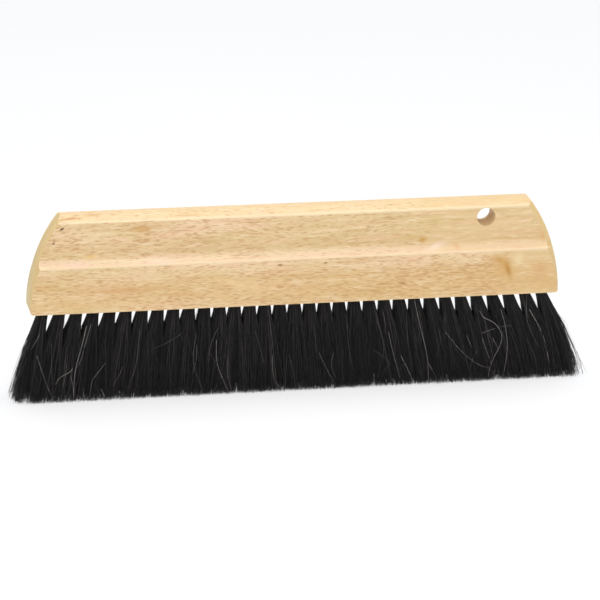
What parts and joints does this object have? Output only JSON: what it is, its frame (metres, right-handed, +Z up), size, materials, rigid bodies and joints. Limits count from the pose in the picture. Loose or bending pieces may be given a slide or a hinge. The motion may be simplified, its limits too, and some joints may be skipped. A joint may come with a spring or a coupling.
{
  "type": "bee brush",
  "caption": "Straight bee brush: a moulded wooden block with bowed ends, a cove above the lower part and a hanging hole, and one row of fanned dark horsehair tufts.",
  "frame": {"origin": "on the plane that the trimmed tips stand on, under the middle of the block", "axes": "+X along the block towards the hanging hole, +Z up from the tips to the wood, the front is towards -Y"},
  "size_m": [0.3206, 0.02, 0.106],
  "materials": {
    "wood": "fine sanded, thin clear coat, straight grain along the block",
    "horsehair": "near-black straight hair with a slight sheen",
    "anchor_wire": "plain flat wire"
  },
  "bodies": {
    "root": {"handle_block": "wood", "tuft_anchors": "anchor_wire", "tuft_01": "horsehair", "tuft_02": "horsehair", "tuft_03": "horsehair", "tuft_04": "horsehair", "tuft_05": "horsehair", "tuft_06": "horsehair", "tuft_07": "horsehair", "tuft_08": "horsehair", "tuft_09": "horsehair", "tuft_10": "horsehair", "tuft_11": "horsehair", "tuft_12": "horsehair", "tuft_13": "horsehair", "tuft_14": "horsehair", "tuft_15": "horsehair", "tuft_16": "horsehair", "tuft_17": "horsehair", "tuft_18": "horsehair", "tuft_19": "horsehair", "tuft_20": "horsehair", "tuft_21": "horsehair", "tuft_22": "horsehair", "tuft_23": "horsehair", "tuft_24": "horsehair", "tuft_25": "horsehair", "tuft_26": "horsehair", "tuft_27": "horsehair", "tuft_28": "horsehair", "tuft_29": "horsehair", "tuft_30": "horsehair", "tuft_31": "horsehair", "tuft_32": "horsehair", "tuft_33": "horsehair"}
  },
  "joints": []
}
